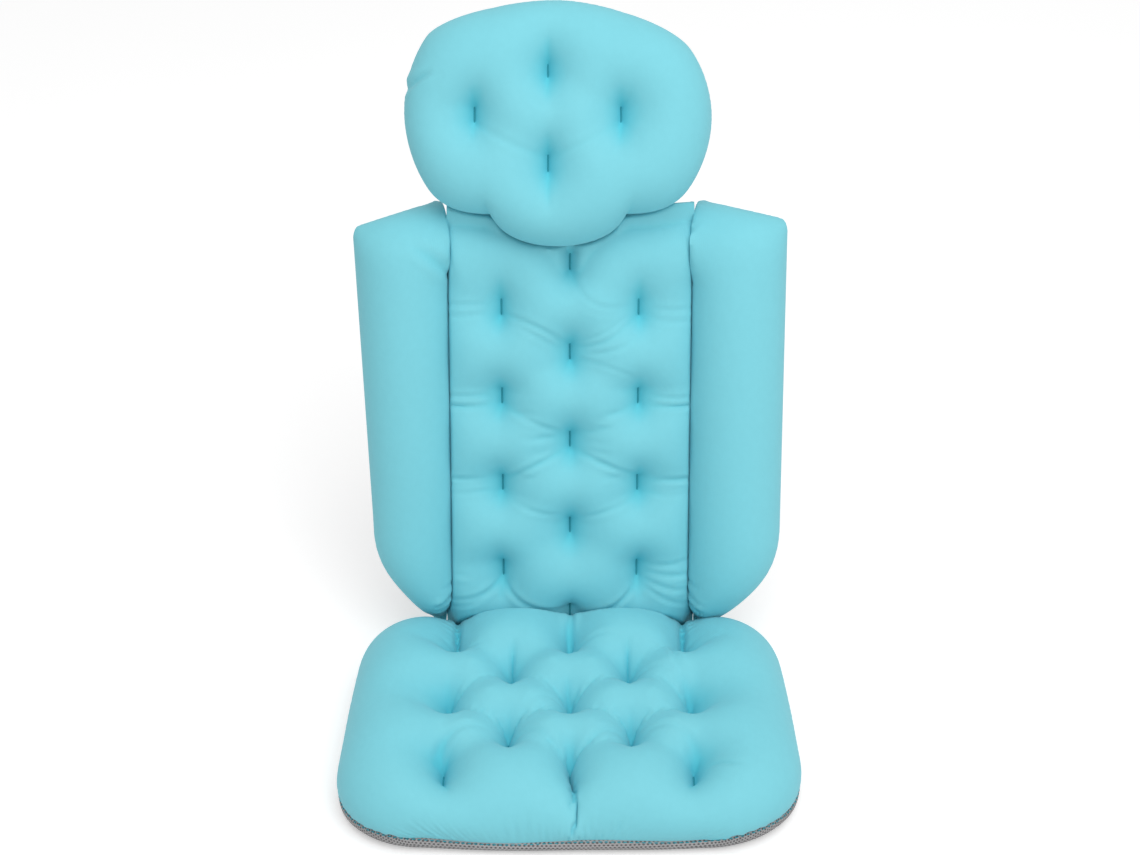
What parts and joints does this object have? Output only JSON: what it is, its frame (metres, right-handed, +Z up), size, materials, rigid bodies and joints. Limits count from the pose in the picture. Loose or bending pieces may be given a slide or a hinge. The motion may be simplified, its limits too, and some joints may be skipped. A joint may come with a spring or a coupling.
{
  "type": "infant bath pillow",
  "caption": "Long padded bath pillow for a small child: a tufted seat folds to a tufted back with a bolster on each side, and a head pillow tilts at the neck.",
  "frame": {"origin": "on the seat's flat mesh underside, on the centre line, midway between its second and third rows of tufts", "axes": "+Z up, square to the seat's underside; -Y the way the sitter faces, towards the seat's front edge; +X to the right of the picture"},
  "size_m": [0.3498, 0.4033, 0.5138],
  "materials": {
    "cover": "matte",
    "mesh": "matte",
    "filling": "matte",
    "thread": "satin"
  },
  "bodies": {
    "seat": {"seat_cover": "cover", "seat_fill": "filling", "seat_mesh": "mesh", "seat_tuft_1": "thread", "seat_tuft_2": "thread", "seat_tuft_3": "thread", "seat_tuft_4": "thread", "seat_tuft_5": "thread", "seat_tuft_6": "thread", "seat_tuft_7": "thread", "seat_tuft_8": "thread", "seat_tuft_9": "thread", "seat_tuft_10": "thread", "seat_tuft_11": "thread", "seat_tuft_12": "thread", "seat_tuft_13": "thread", "waist_seam": "cover"},
    "back": {"back_cover": "cover", "back_fill": "filling", "back_mesh": "mesh", "back_tuft_1": "thread", "back_tuft_2": "thread", "back_tuft_3": "thread", "back_tuft_4": "thread", "back_tuft_5": "thread", "back_tuft_6": "thread", "back_tuft_7": "thread", "back_tuft_8": "thread", "back_tuft_9": "thread", "back_tuft_10": "thread", "back_tuft_11": "thread", "back_tuft_12": "thread", "back_tuft_13": "thread", "left_wing_seam": "cover", "right_wing_seam": "cover", "neck_seam": "cover"},
    "left_wing": {"left_wing_cover": "cover", "left_wing_fill": "filling", "left_wing_mesh": "mesh"},
    "right_wing": {"right_wing_cover": "cover", "right_wing_fill": "filling", "right_wing_mesh": "mesh"},
    "head": {"head_cover": "cover", "head_fill": "filling", "head_mesh": "mesh", "head_tuft_1": "thread", "head_tuft_2": "thread", "head_tuft_3": "thread", "head_tuft_4": "thread", "neck_strip": "cover"}
  },
  "joints": [
    {"name": "back_fold", "type": "hinge", "parent": "seat", "child": "back", "pos_m": [0, 0.1196, 0.0021], "axis": [-1, 0, 0], "range_deg": [0, 75]},
    {"name": "left_wing_fold", "type": "hinge", "parent": "back", "child": "left_wing", "pos_m": [-0.1041, 0.1196, 0.0021], "axis": [0, -0.2588, -0.9659], "range_deg": [0, 35]},
    {"name": "right_wing_fold", "type": "hinge", "parent": "back", "child": "right_wing", "pos_m": [0.1041, 0.1196, 0.0021], "axis": [0, 0.2588, 0.9659], "range_deg": [0, 35]},
    {"name": "head_tilt", "type": "hinge", "parent": "back", "child": "head", "pos_m": [-0.009, 0.2034, 0.36083], "axis": [-1, 0, 0], "range_deg": [0, 40]}
  ]
}
